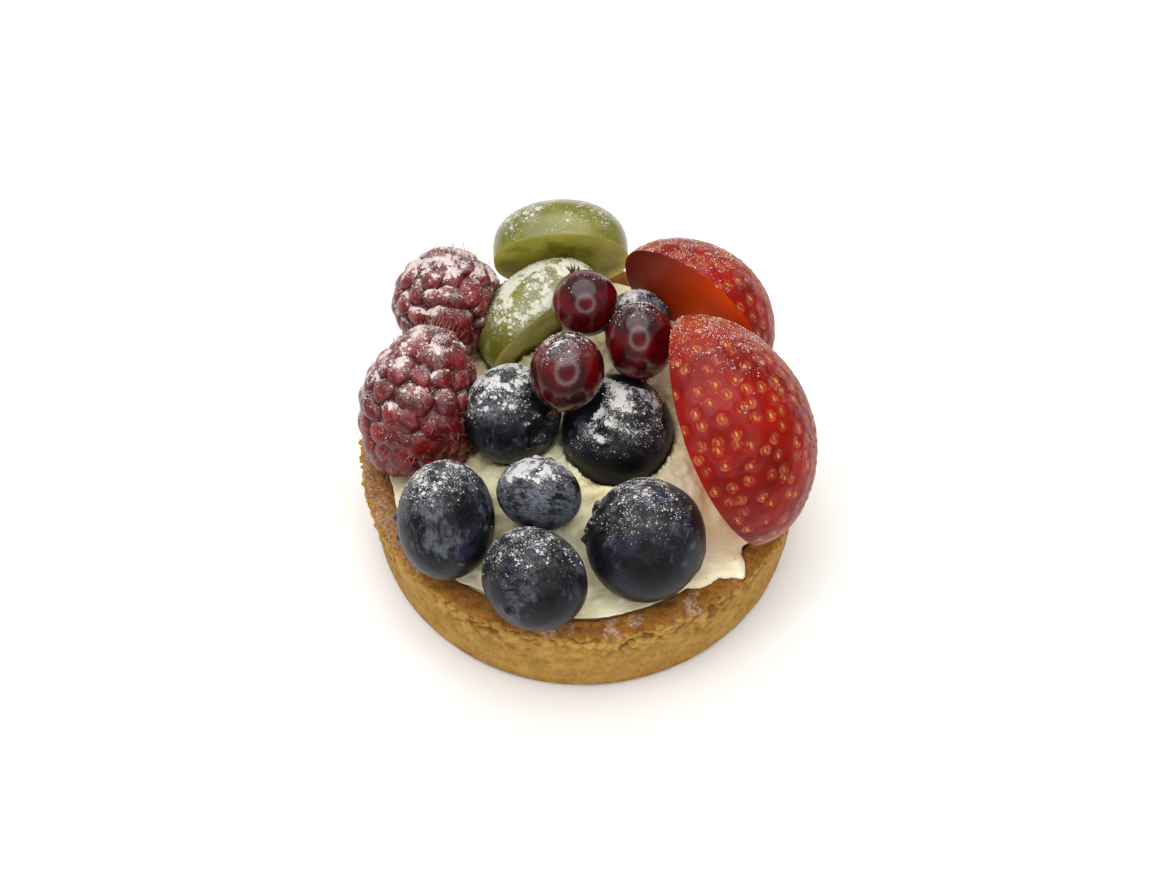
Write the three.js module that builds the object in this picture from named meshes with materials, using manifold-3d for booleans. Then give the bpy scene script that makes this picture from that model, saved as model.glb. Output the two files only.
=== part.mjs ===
// Fruit tart: a round shortcrust case filled with cream and heaped with fruit.
// Millimetres, +Z up.  The origin is the centre of the case's flat underside.

import * as THREE from 'three';
import { mergeVertices } from 'three/addons/utils/BufferGeometryUtils.js';
import Module from 'manifold-3d';

const wasm = await Module();
wasm.setup();

// ---- driving dimensions ----

const GAP = 0.3;                 // clearance kept between pieces that touch

const CASE_DIAMETER = 75;        // baked in a straight-sided ring
const CASE_HEIGHT = 20;
const CASE_DRAW_IN = 0.5;        // the foot is this much smaller in radius than the rim
const WALL = 4.1;
const FLOOR = 4;
const FOOT_ROUND = 1.2;
const RIM_ROUND = 1.5;
const CASE_SEGMENTS = 56;
const WALL_WAVES = [            // how the hand-lined wall strays: waves round, swing, start
  [3, 0.35, 0.6],
  [7, 0.2, 0],
];
const CRUST_ROUGHNESS = 0.25;    // unevenness of the baked outside
const RIM_ROUGHNESS = 0.3;

const CREAM_LIP = 0.8;           // thickness of the tongue of cream that laps the rim
const CREAM_LAP = 2.4;           // how far that tongue reaches over the rim
const CREAM_CROWN = 2.4;         // rise of the cream towards the middle, before the heaps
const CREAM_SETTLE = 0.4;        // how far the cream sinks back under the fruit
const CREAM_RINGS = 13;
const CREAM_CLEARANCE = 0.7;     // between the cream and whatever is pressed into it
const CREAM_FEELERS = 8;         // directions in which the cream looks for fruit above it
const CREAM_FEELER_REACH = 2.4;

const BERRY_SEGMENTS = 17;
const BERRY_RINGS = 8;
const CROWN_RADIUS = 0.27;       // of the berry's radius
const CROWN_DEPTH = 0.1;

const CURRANT_SEGMENTS = 16;
const CURRANT_RINGS = 7;
const TUFT_RADIUS = 0.1;         // of the currant's radius
const TUFT_TOP = 1.1;            // of its half height

const DRUPELETS_ROUND = 14;      // drupelets in one ring of a raspberry
const DRUPELET_ROWS = 6;
const DRUPELET_SWELL = 0.55;
const RASPBERRY_BASE = 0.78;     // the base is hollowed to this share of the half height
const RASPBERRY_TAPER = 0.32;
const RASPBERRY_SHOULDER = 0.62; // below 1 these two powers make the cone blunt
const RASPBERRY_NOSE = 0.8;

const GRAPE_SEGMENTS = 18;
const GRAPE_BLUNTNESS = 0.8;       // below 1 the ends are blunter than an ellipsoid's
const GRAPE_GIRTH = 1.06;          // the ellipsoid that holds those ends is this much wider
const STRAWBERRY_SEGMENTS = 24;
const STRAWBERRY_RINGS = 12;
const STRAWBERRY_SHOULDER = 0.95;  // below 1 the widest ring moves towards the shoulders
const STRAWBERRY_BLUNTNESS = 0.5;

// ---- the fruit: centre, size and which way each piece points ----

const BLUEBERRIES = [
  { name: 'blueberry_front_left', at: [-21.3, -21.5, 28.9], across: 18.7, tall: 14.9,
    crown: [-0.97, 0.1, -0.22] },
  { name: 'blueberry_front', at: [-7.4, -31.1, 27.4], across: 16.8, tall: 14.6,
    crown: [0.46, 0.85, -0.25] },
  { name: 'blueberry_front_right', at: [9.8, -24.6, 28.1], across: 19.4, tall: 18.6,
    crown: [-0.94, 0.29, 0.19] },
  { name: 'blueberry_raised', at: [-6.8, -18.2, 31.3], across: 13.4, tall: 11.2,
    crown: [0.2, 0.95, 0.25] },
  { name: 'blueberry_middle_left', at: [-11.5, -1.7, 29.2], across: 16.8, tall: 14.6,
    crown: [0.6, -0.71, 0.36] },
  { name: 'blueberry_middle_right', at: [5.6, -3.6, 27.4], across: 18.4, tall: 16.4,
    crown: [0.3, 0.6, -0.74] },
  { name: 'blueberry_back', at: [9.0, 14.5, 32.5], across: 11.2, tall: 10.4,
    crown: [0.3, 0.3, -0.9] },
];

const CURRANTS = [
  { name: 'currant_back', at: [0.4, 13.0, 39.6], across: 10.9, tall: 10.9,
    tip: [-0.35, 0.79, 0.51] },
  { name: 'currant_left', at: [-2.5, -1.0, 40.0], across: 11.8, tall: 12.7,
    tip: [-0.3, -0.776, -0.5] },
  { name: 'currant_right', at: [9.1, 5.1, 39.9], across: 11.2, tall: 12.5,
    tip: [0.1, -0.5, -0.85] },
];

const RASPBERRIES = [
  { name: 'raspberry_left', at: [-26.6, 0.6, 29.2], across: 20.0, tall: 26.0,
    tip: [0.2, 0.6, 0.78] },
  { name: 'raspberry_back_left', at: [-23.3, 22.4, 28.7], across: 19.2, tall: 18.6,
    tip: [0.0, 0.2, 0.98] },
];

const GRAPES = [
  { name: 'grape_half_back', at: [-3.9, 31.6, 30.5], long: 23.6, wide: 18.4, below: 1.8,
    along: [0.998, 0.03, 0.02], dome: [0, 0.987, 0.164] },
  { name: 'grape_half_middle', at: [-6.9, 19.6, 26.6], long: 24.2, wide: 18.4, below: 2.1,
    along: [0.79, 0.512, 0.332], dome: [-0.592, 0.775, 0.217] },
];

const STRAWBERRIES = [
  { name: 'strawberry_half_right', at: [22.2, -7.9, 33.7], long: 38.2, across: 28.6,
    tip: [-0.36, 0.757, 0.551], cut: [-0.809, 0.011, -0.59] },
  { name: 'strawberry_half_back', at: [18.3, 14.1, 34.8], long: 29.5, across: 24.6,
    tip: [-0.733, 0.57, 0.371], cut: [-0.626, -0.778, -0.04] },
];

// ---- shaping helpers ----

// Joins the seam and the poles of a geometry and drops the slivers that leaves.
function closed(geometry) {
  geometry.deleteAttribute('normal');
  geometry.deleteAttribute('uv');
  const merged = mergeVertices(geometry, 1e-4);
  const index = merged.index.array;
  const kept = [];
  for (let i = 0; i < index.length; i += 3) {
    const [a, b, c] = [index[i], index[i + 1], index[i + 2]];
    if (a !== b && b !== c && c !== a) {
      kept.push(a, b, c);
    }
  }
  merged.setIndex(kept);
  return merged;
}

// A profile of [radius, height] pairs turned round +Z; it runs up the outside.
function turned(profile, segments) {
  const points = profile.map(([r, z]) => new THREE.Vector2(r, z));
  return new THREE.LatheGeometry(points, segments).rotateX(Math.PI / 2);
}

// Moves every vertex of a geometry in place.
function reshape(geometry, move) {
  const position = geometry.attributes.position;
  const p = new THREE.Vector3();
  for (let i = 0; i < position.count; i += 1) {
    p.fromBufferAttribute(position, i);
    move(p);
    position.setXYZ(i, p.x, p.y, p.z);
  }
  return geometry;
}

// Slow unevenness, about -1 to 1, that differs from one seed to the next.
function unevenness(p, seed, pitch) {
  const x = p.x / pitch + seed;
  const y = p.y / pitch + 1.7 * seed;
  const z = p.z / pitch + 2.3 * seed;
  return (Math.sin(x + 1.3 * Math.sin(y)) + Math.sin(y + 1.1 * z) + Math.sin(1.2 * z + x)) / 3;
}

function arc(centreR, centreZ, radius, from, to, steps) {
  const points = [];
  for (let i = 0; i <= steps; i += 1) {
    const angle = THREE.MathUtils.degToRad(from + (to - from) * i / steps);
    points.push([centreR + radius * Math.cos(angle), centreZ + radius * Math.sin(angle)]);
  }
  return points;
}

function toManifold(geometry) {
  const mesh = new wasm.Mesh({
    numProp: 3,
    vertProperties: new Float32Array(geometry.attributes.position.array),
    triVerts: new Uint32Array(geometry.index.array),
  });
  return new wasm.Manifold(mesh);
}

function fromManifold(solid) {
  const mesh = solid.getMesh();
  const geometry = new THREE.BufferGeometry();
  geometry.setAttribute('position', new THREE.BufferAttribute(mesh.vertProperties, 3));
  geometry.setIndex(new THREE.BufferAttribute(mesh.triVerts, 1));
  return geometry;
}

// Keeps what lies on the +Y side of a plane that runs along a solid's axis or below it.
function halved(geometry, reach, below = 0) {
  const block = closed(new THREE.BoxGeometry(2 * reach, reach, 2 * reach));
  block.translate(0, reach / 2 - below, 0);
  return fromManifold(toManifold(geometry).intersect(toManifold(block)));
}

function mesh(name, geometry, colour, roughness) {
  geometry.computeVertexNormals();
  const material = new THREE.MeshStandardMaterial({ color: colour, roughness, metalness: 0 });
  const piece = new THREE.Mesh(geometry, material);
  piece.name = name;
  return piece;
}

// Turns a piece so that its +Z follows one direction and its +Y another.
function place(piece, at, up, side) {
  const z = new THREE.Vector3(...up).normalize();
  const hint = new THREE.Vector3(...side);
  const x = hint.clone().cross(z).normalize();
  const y = z.clone().cross(x);
  piece.quaternion.setFromRotationMatrix(new THREE.Matrix4().makeBasis(x, y, z));
  piece.position.set(...at);
  return piece;
}

// ---- the crust case ----

const CASE_RADIUS = CASE_DIAMETER / 2;

// Inner radius of the wall at an angle round the case.
function wallInside(angle) {
  const strays = WALL_WAVES.map(([waves, swing, start]) => swing * Math.sin(waves * angle + start));
  return CASE_RADIUS - WALL + strays.reduce((sum, stray) => sum + stray);
}

function crustCase() {
  const foot = CASE_RADIUS - CASE_DRAW_IN;
  const inside = CASE_RADIUS - WALL;
  const profile = [
    [0, 0],
    ...arc(foot - FOOT_ROUND, FOOT_ROUND, FOOT_ROUND, -90, 0, 2),
    [(foot + CASE_RADIUS) / 2, CASE_HEIGHT / 2],
    ...arc(CASE_RADIUS - RIM_ROUND, CASE_HEIGHT - RIM_ROUND, RIM_ROUND, 0, 90, 3),
    ...arc(inside + RIM_ROUND, CASE_HEIGHT - RIM_ROUND, RIM_ROUND, 90, 180, 2),
    [inside, FLOOR],
    [0, FLOOR],
  ];
  const geometry = reshape(turned(profile, CASE_SEGMENTS), (p) => {
    const radius = Math.hypot(p.x, p.y);
    if (radius < 1e-6) {
      return;
    }
    const angle = Math.atan2(p.y, p.x);
    const inner = THREE.MathUtils.clamp((foot - radius) / WALL, 0, 1);
    let moved = radius + inner * (wallInside(angle) - inside);
    if (p.z > 0 && radius > foot - FOOT_ROUND / 2) {
      moved += CRUST_ROUGHNESS * unevenness(p, 4, 9);
    }
    if (p.z > CASE_HEIGHT - RIM_ROUND / 2) {
      p.z += RIM_ROUGHNESS * (unevenness(p, 9, 7) - 1);
    }
    p.x *= moved / radius;
    p.y *= moved / radius;
  });
  return mesh('crust', closed(geometry), 0xc99a52, 0.85);
}

// ---- fruit ----

// A berry's outline from its underside to the pole, with a ring and hollow at the top.
function berryProfile(rings) {
  const profile = [[0, -1]];
  for (let i = 1; i < rings; i += 1) {
    const angle = -Math.PI / 2 + Math.PI * i / rings;
    if (Math.cos(angle) > CROWN_RADIUS || angle < 0) {
      profile.push([Math.cos(angle), Math.sin(angle)]);
    }
  }
  const shoulder = Math.sqrt(1 - CROWN_RADIUS ** 2);
  profile.push([CROWN_RADIUS, shoulder + CROWN_DEPTH / 3]);
  profile.push([0.6 * CROWN_RADIUS, shoulder - CROWN_DEPTH]);
  profile.push([0, shoulder - 1.2 * CROWN_DEPTH]);
  return profile;
}

function blueberry({ name, at, across, tall, crown }, seed) {
  const geometry = turned(berryProfile(BERRY_RINGS), BERRY_SEGMENTS);
  geometry.scale(across / 2, across / 2, tall / 2);
  reshape(geometry, (p) => p.multiplyScalar(1 + 0.012 * unevenness(p, seed, 5)));
  return place(mesh(name, closed(geometry), 0x2a3048, 0.5), at, crown, [0.31, 0.17, 0.94]);
}

// A currant keeps a short dried tuft at its tip.
function currant({ name, at, across, tall, tip }) {
  const profile = [[0, -1]];
  for (let i = 1; i < CURRANT_RINGS; i += 1) {
    const angle = -Math.PI / 2 + Math.PI * i / CURRANT_RINGS;
    profile.push([Math.cos(angle), Math.sin(angle)]);
  }
  profile.push([TUFT_RADIUS, Math.sqrt(1 - TUFT_RADIUS ** 2)]);
  profile.push([TUFT_RADIUS, TUFT_TOP], [0, TUFT_TOP]);
  const geometry = turned(profile, CURRANT_SEGMENTS);
  geometry.scale(across / 2, across / 2, tall / 2);
  return place(mesh(name, closed(geometry), 0x5a0f1c, 0.25), at, tip, [0.9, 0.2, 0.3]);
}

// A raspberry is a blunt cone of drupelets, each row turned half a step from the last.
function raspberry({ name, at, across, tall, tip }) {
  const rings = 3 * DRUPELET_ROWS;
  const profile = [[0, -RASPBERRY_BASE]];
  for (let i = 1; i < rings; i += 1) {
    const t = i / rings;
    const angle = -Math.PI / 2 + Math.PI * t;
    const taper = 1 - RASPBERRY_TAPER * Math.max(0, Math.sin(angle)) ** 1.5;
    const bluntness = angle < 0 ? RASPBERRY_SHOULDER : RASPBERRY_NOSE;
    profile.push([taper * Math.cos(angle) ** bluntness, Math.sin(angle)]);
  }
  profile.push([0, 1]);
  const geometry = turned(profile, 3 * DRUPELETS_ROUND);
  const girth = across / 2 - DRUPELET_SWELL;
  geometry.scale(girth, girth, tall / 2 - DRUPELET_SWELL);
  reshape(geometry, (p) => {
    const height = THREE.MathUtils.clamp(p.z / (tall / 2), -1, 1);
    const row = (Math.asin(height) / Math.PI + 0.5) * DRUPELET_ROWS;
    const stagger = 0.5 * (Math.floor(row) % 2);
    const turn = Math.atan2(p.y, p.x) / (2 * Math.PI) * DRUPELETS_ROUND + stagger;
    const round = Math.cos(2 * Math.PI * turn);
    const along = -Math.cos(2 * Math.PI * row);
    const fade = Math.min(1, Math.hypot(p.x, p.y) / 3);
    const swell = 0.5 * DRUPELET_SWELL * fade * (round + along);
    p.multiplyScalar(1 + swell / p.length());
  });
  return place(mesh(name, closed(geometry), 0x8e1c30, 0.6), at, tip, [0.8, -0.5, 0.1]);
}

// Half a grape: its long axis is local Z, the dome swells towards local +Y, and the knife may
// have passed a little below the middle.
function grapeHalf({ name, at, long, wide, below, along, dome }) {
  const whole = new THREE.SphereGeometry(1, GRAPE_SEGMENTS, 12);
  whole.rotateX(Math.PI / 2);
  reshape(whole, (p) => {
    const radius = Math.hypot(p.x, p.y);
    const blunt = radius > 1e-4 ? radius ** (GRAPE_BLUNTNESS - 1) : 1;
    p.multiply(new THREE.Vector3(blunt * wide / 2, blunt * wide / 2, long / 2));
  });
  const geometry = halved(closed(whole), long, below);
  return place(mesh(name, geometry, 0x8f8f35, 0.35), at, along, dome);
}

// Half a strawberry: tip at +Z, shoulders at -Z, cut through its axis, flesh side at local -Y.
function strawberryHalf({ name, at, long, across, tip, cut }) {
  const profile = [[0, -long / 2]];
  for (let i = 1; i < STRAWBERRY_RINGS; i += 1) {
    const t = i / STRAWBERRY_RINGS;
    const girth = Math.sin(Math.PI * t ** STRAWBERRY_SHOULDER) ** STRAWBERRY_BLUNTNESS;
    profile.push([across / 2 * girth, long * (t - 0.5)]);
  }
  profile.push([0, long / 2]);
  const geometry = halved(closed(turned(profile, STRAWBERRY_SEGMENTS)), long);
  const skinSide = cut.map((c) => -c);
  return place(mesh(name, geometry, 0xb3201c, 0.4), at, tip, skinSide);
}

// Soft raspberries give way to the firm fruit they lean on: any vertex inside a neighbour's
// ellipsoid, grown by the clearance, is pushed straight out to its surface.
function giveWay(soft, neighbours) {
  const into = new THREE.Matrix4();
  const back = soft.matrixWorld.clone().invert();
  for (const { piece, half } of neighbours) {
    into.copy(piece.matrixWorld).invert();
    const grown = half.clone().addScalar(GAP);
    reshape(soft.geometry, (p) => {
      p.applyMatrix4(soft.matrixWorld).applyMatrix4(into).divide(grown);
      if (p.length() < 1) {
        p.normalize();
      }
      p.multiply(grown).applyMatrix4(piece.matrixWorld).applyMatrix4(back);
    });
  }
  soft.geometry.computeVertexNormals();
}

// ---- the cream ----

// Where the cream laps over the rim, 0 to 1, at an angle round the case.
function lapping(angle) {
  const middle = THREE.MathUtils.degToRad(-50);
  const spread = THREE.MathUtils.degToRad(9);
  return Math.exp(-(((angle - middle) / spread) ** 2));
}

// Where the cream is heaped to bed the raised fruit: centre, height and spread of each heap.
const HEAPS = [
  { x: -3, y: 25, height: 4, spread: 9 },
  { x: 17, y: 18, height: 11, spread: 9 },
  { x: 22, y: 0, height: 7, spread: 10 },
  { x: -7, y: -18, height: 4, spread: 6 },
  { x: 3, y: 9, height: 7, spread: 8 },
  { x: 0, y: -14, height: 3.4, spread: 15 },
  { x: 15, y: -12, height: 2.5, spread: 6 },
];

// Height of the cream before anything is pressed into it.
function creamHeight(x, y) {
  const rim = Math.min(1, Math.hypot(x, y) / (CASE_RADIUS - WALL));
  let heaped = CREAM_CROWN * (1 - rim ** 2);
  for (const heap of HEAPS) {
    const away = Math.hypot(x - heap.x, y - heap.y) / heap.spread;
    heaped += heap.height * Math.exp(-(away ** 2)) * (1 - rim ** 12);
  }
  return CASE_HEIGHT + heaped;
}

// The lowest point of the fruit over a small disc of cream, found by rays sent up from below.
function underside(x, y, pressed) {
  const ray = new THREE.Raycaster();
  const upwards = new THREE.Vector3(0, 0, 1);
  let lowest = Infinity;
  for (let i = 0; i <= CREAM_FEELERS; i += 1) {
    const reach = i ? CREAM_FEELER_REACH : 0;
    const angle = 2 * Math.PI * i / CREAM_FEELERS;
    const from = new THREE.Vector3(x + reach * Math.cos(angle), y + reach * Math.sin(angle), -1);
    ray.set(from, upwards);
    for (const hit of ray.intersectObjects(pressed)) {
      lowest = Math.min(lowest, hit.point.z);
    }
  }
  return lowest;
}

function cream(pressed) {
  const wall = CASE_RADIUS - WALL - GAP;
  const lip = CASE_HEIGHT + GAP;
  const profile = [[0, FLOOR + GAP], [wall, FLOOR + GAP], [wall, lip], [wall, lip + CREAM_LIP]];
  for (let i = CREAM_RINGS - 1; i >= 0; i -= 1) {
    profile.push([wall * i / CREAM_RINGS, CASE_HEIGHT * 2]);
  }
  const geometry = reshape(turned(profile, CASE_SEGMENTS), (p) => {
    const radius = Math.hypot(p.x, p.y);
    const angle = Math.atan2(p.y, p.x);
    const share = radius / wall;
    const reach = wallInside(angle) - GAP;
    const lap = p.z >= lip && share > 0.999 ? CREAM_LAP * lapping(angle) : 0;
    if (radius > 0) {
      p.x *= (reach * share + lap) / radius;
      p.y *= (reach * share + lap) / radius;
    }
    if (p.z > CASE_HEIGHT) {
      const spread = Math.max(lip + 0.1, creamHeight(p.x, p.y) - CREAM_SETTLE);
      const top = p.z < lip + 0.01 ? lip : spread;
      p.z = Math.min(top, underside(p.x, p.y, pressed) - CREAM_CLEARANCE);
    }
  });
  return mesh('cream', closed(geometry), 0xe9e0bd, 0.55);
}

// ---- the tart ----

const berries = BLUEBERRIES.map((row, i) => blueberry(row, i + 1));
const grapes = GRAPES.map(grapeHalf);
const raspberries = RASPBERRIES.map(raspberry);
const fruit = [
  ...berries,
  ...CURRANTS.map(currant),
  ...raspberries,
  ...grapes,
  ...STRAWBERRIES.map(strawberryHalf),
];
for (const piece of fruit) {
  piece.updateMatrixWorld(true);
}
const firm = [
  ...BLUEBERRIES.map(({ across, tall }, i) => (
    { piece: berries[i], half: new THREE.Vector3(across / 2, across / 2, tall / 2) })),
  ...GRAPES.map(({ long, wide }, i) => {
    const girth = GRAPE_GIRTH * wide / 2;
    return { piece: grapes[i], half: new THREE.Vector3(girth, girth, long / 2) };
  }),
];
for (const soft of raspberries) {
  giveWay(soft, firm);
}

const group = new THREE.Group();
group.add(crustCase(), cream(fruit), ...fruit);

export default group;
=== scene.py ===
"""A small fruit tart: a shortcrust case of cream under whole and halved fruit and icing sugar.
Everything is in the frame of the CAD model: +Z up, the origin under the middle of the case."""

import math

import bpy
import numpy as np
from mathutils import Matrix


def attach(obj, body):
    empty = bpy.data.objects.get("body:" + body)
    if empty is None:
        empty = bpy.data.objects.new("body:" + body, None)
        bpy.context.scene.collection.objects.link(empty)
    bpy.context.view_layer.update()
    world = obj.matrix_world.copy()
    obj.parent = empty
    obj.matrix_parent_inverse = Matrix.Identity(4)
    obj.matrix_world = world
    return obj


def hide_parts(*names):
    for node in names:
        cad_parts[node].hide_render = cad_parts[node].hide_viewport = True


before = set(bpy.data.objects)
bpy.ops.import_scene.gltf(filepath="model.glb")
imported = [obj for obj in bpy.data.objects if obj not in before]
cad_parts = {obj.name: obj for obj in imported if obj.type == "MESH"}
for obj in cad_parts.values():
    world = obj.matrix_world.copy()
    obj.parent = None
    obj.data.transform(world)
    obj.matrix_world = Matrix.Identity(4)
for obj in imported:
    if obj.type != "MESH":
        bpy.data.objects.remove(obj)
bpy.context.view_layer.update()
MM = 0.001  # shapes are worked out in millimetres and put into meshes in metres


# ---- where the tart is seen from ----
# The tart is looked down on from in front, a little more than half way up from level,
# from about as near as a hand-held camera focuses.

AIM = (0.2, 0.0, 18.8)
VIEW_DISTANCE = 250
VIEW_HEIGHT = math.radians(57)
FRAME_WIDTH, FOCAL_LENGTH, NEAREST = 36, 45.31, 0.01

camera_data = bpy.data.cameras.new("view")
camera_data.sensor_width = FRAME_WIDTH
camera_data.lens = FOCAL_LENGTH
camera_data.clip_start = NEAREST
camera = bpy.data.objects.new("view", camera_data)
camera.location = (
    AIM[0] * MM,
    (AIM[1] - VIEW_DISTANCE * math.cos(VIEW_HEIGHT)) * MM,
    (AIM[2] + VIEW_DISTANCE * math.sin(VIEW_HEIGHT)) * MM,
)
camera.rotation_euler = (math.pi / 2 - VIEW_HEIGHT, 0, 0)
bpy.context.collection.objects.link(camera)
bpy.context.scene.camera = camera
bpy.context.scene.view_settings.view_transform = "Standard"


# ---- the table and the light ----
# A plain white table under an even white sky, a broad soft light above and behind, and a ring
# of small lights around the viewer, which the glossy fruit reflects.

TABLE_REACH = 1500
SKY_STRENGTH = 0.34
OVERHEAD = {"at": (-0.06, 0.16, 0.62), "size": 0.9, "power": 4.5}
RING_LIGHTS = 14
RING_RADIUS = 0.14
RING_LIGHT_SIZE = 0.068
RING_POWER = 0.030


def point_at(lamp, target):
    """Turns a lamp's -Z towards a point."""
    away = np.array(lamp.location) - np.array(target)
    tilt = math.atan2(math.hypot(away[0], away[1]), away[2])
    lamp.rotation_euler = (tilt, 0, math.atan2(away[1], away[0]) + math.pi / 2)


def soft_light(name, at, size, power):
    """A round lamp, size metres across and power watts, turned towards the tart."""
    data = bpy.data.lights.new(name, "AREA")
    data.shape = "DISK"
    data.size = size
    data.energy = power
    lamp = bpy.data.objects.new(name, data)
    lamp.location = at
    point_at(lamp, (0, 0, AIM[2] * MM))
    bpy.context.collection.objects.link(lamp)


soft_light("overhead", **OVERHEAD)
for k in range(RING_LIGHTS):
    turn = 2 * math.pi * k / RING_LIGHTS
    across, up = RING_RADIUS * math.cos(turn), RING_RADIUS * math.sin(turn)
    soft_light(
        f"ring_{k}",
        (
            camera.location.x + across,
            camera.location.y + up * math.sin(VIEW_HEIGHT),
            camera.location.z + up * math.cos(VIEW_HEIGHT),
        ),
        RING_LIGHT_SIZE,
        RING_POWER,
    )

sky = bpy.data.worlds.new("sky")
sky.use_nodes = True
sky.node_tree.nodes["Background"].inputs["Color"].default_value = (1, 1, 1, 1)
sky.node_tree.nodes["Background"].inputs["Strength"].default_value = SKY_STRENGTH
bpy.context.scene.world = sky


def tint(red, green, blue):
    """A colour as the eye reads it, 0 to 255, as the linear light values that shaders use."""
    share = np.array([red, green, blue]) / 255
    linear = np.where(share > 0.04045, ((share + 0.055) / 1.055) ** 2.4, share / 12.92)
    return (*linear.tolist(), 1.0)


class Flow:
    """A value on its way through a finish: Flow * 2 and 1 - Flow add the Math nodes."""

    def __init__(self, finish, socket):
        self.finish, self.socket = finish, socket

    def math(self, operation, first, second):
        return self.finish.node("ShaderNodeMath", {"operation": operation}, {0: first, 1: second})

    def __add__(self, other):
        return self.math("ADD", self, other)

    def __sub__(self, other):
        return self.math("SUBTRACT", self, other)

    def __rsub__(self, other):
        return self.math("SUBTRACT", other, self)

    def __mul__(self, other):
        return self.math("MULTIPLY", self, other)

    __radd__, __rmul__ = __add__, __mul__

    def largest(self, other):
        return self.math("MAXIMUM", self, other)

    def eased(self, low, high):
        """0 up to low, 1 from high on, and an S-curve between; low may be above high."""
        return self.finish.node(
            "ShaderNodeMapRange", {"interpolation_type": "SMOOTHSTEP"},
            {"Value": self, "From Min": low, "From Max": high})


class Finish:
    """One surface finish: a node material built up from the methods below."""

    def __init__(self, name, **constants):
        self.material = bpy.data.materials.new(name)
        self.material.use_nodes = True
        self.tree = self.material.node_tree
        self.shader = self.tree.nodes["Principled BSDF"]
        for name, value in constants.items():
            socket = name.replace("_", " ").title().replace("Ior", "IOR")
            self.shader.inputs[socket].default_value = value
        self.place = self.node("ShaderNodeTexCoord", out="Object")

    def node(self, kind, settings=(), values=(), out=0):
        """Any node: its settings first, then the values or links of its sockets."""
        node = self.tree.nodes.new(kind)
        for name, value in dict(settings).items():
            setattr(node, name, value)
        for name, value in dict(values).items():
            self.feed(node.inputs[name], value)
        return Flow(self, node.outputs[out])

    def feed(self, socket, value):
        if isinstance(value, Flow):
            self.tree.links.new(value.socket, socket)
        else:
            socket.default_value = value

    def mark(self, name, out="Fac"):
        """A number, or with out="Vector" a place, stored on each point of the mesh."""
        return self.node("ShaderNodeAttribute", {"attribute_name": name}, out=out)

    def towards(self, direction):
        """1 where the surface faces a direction, -1 where it faces away."""
        facing = self.node("ShaderNodeNewGeometry", out="Normal")
        length = math.hypot(*direction)
        way = tuple(part / length for part in direction)
        return self.node(
            "ShaderNodeVectorMath", {"operation": "DOT_PRODUCT"}, {0: facing, 1: way}, out="Value")

    def along(self, axis):
        """Distance from the origin along X, Y or Z in millimetres."""
        return self.node("ShaderNodeSeparateXYZ", values={0: self.place}, out=axis) * 1000

    def stretched(self, where, scale):
        """A place stretched by three factors, for streaks."""
        return self.node("ShaderNodeVectorMath", {"operation": "MULTIPLY"}, {0: where, 1: scale})

    def clouds(self, pitch, detail=3.0, where=None, rough=0.55, twist=0.0):
        """Soft mottling, 0 to 1, about pitch millimetres from one patch to the next."""
        return self.node(
            "ShaderNodeTexNoise", values={
                "Vector": where or self.place, "Scale": 1 / (pitch * MM), "Detail": detail,
                "Roughness": rough, "Distortion": twist})

    def grains(self, pitch):
        """Distance from the nearest grain's centre, in units of pitch millimetres."""
        return self.node(
            "ShaderNodeTexVoronoi", values={"Vector": self.place, "Scale": 1 / (pitch * MM)},
            out="Distance")

    def blend(self, share, below, above):
        """One colour over another by share."""
        values = {0: share, 6: below, 7: above}
        return self.node("ShaderNodeMix", {"data_type": "RGBA"}, values, out=2)

    def layered(self, colour, *coats):
        """A colour under coats, each a share and the colour that covers it by that share."""
        for share, above in coats:
            colour = self.blend(share, colour, above)
        return colour

    def done(self, colour, roughness, relief=None, depth=0.1, coat=None):
        """Joins the colour, the roughness and a relief, depth millimetres high, to the shader."""
        self.feed(self.shader.inputs["Base Color"], colour)
        self.feed(self.shader.inputs["Roughness"], roughness)
        if coat is not None:
            self.feed(self.shader.inputs["Coat Weight"], coat)
        if relief is not None:
            values = {"Height": relief, "Distance": depth * MM, "Strength": 1.0}
            self.feed(self.shader.inputs["Normal"], self.node("ShaderNodeBump", values=values))
        return self


table_mesh = bpy.data.meshes.new("table")
corners = np.array([[-1, -1, 0], [1, -1, 0], [1, 1, 0], [-1, 1, 0]]) * TABLE_REACH * MM
table_mesh.from_pydata(corners.tolist(), [], [(0, 1, 2, 3)])
table = bpy.data.objects.new("table", table_mesh)
bpy.context.collection.objects.link(table)
white_table = Finish("white_table")
white_table.done(tint(247, 246, 244), 0.9)
table_mesh.materials.append(white_table.material)


# ---- the crust case ----
# A shortcrust case, lined by hand into a straight ring and baked blind: an uneven wall, a rim
# rounded by the thumb and toasted darker, and a crumbly edge with pits where butter melted out.

CASE_RADIUS, CASE_HEIGHT, DRAW_IN = 37.5, 20.0, 0.5
WALL, FLOOR, FOOT_ROUND, RIM_ROUND = 4.1, 4.0, 1.2, 1.5
WALL_WAVES = ((3, 0.35, 0.6), (7, 0.2, 0.0))  # waves round, swing, start
CRUST_STEPS = 680

CRUST_TAN = tint(160, 116, 48)
CRUST_GOLD = tint(184, 140, 56)
CRUST_PALE = tint(200, 164, 88)
CRUST_BROWN = tint(112, 68, 24)
CRUST_TOASTED = tint(146, 86, 26)
SUGAR_WHITE = tint(246, 242, 238)


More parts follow.
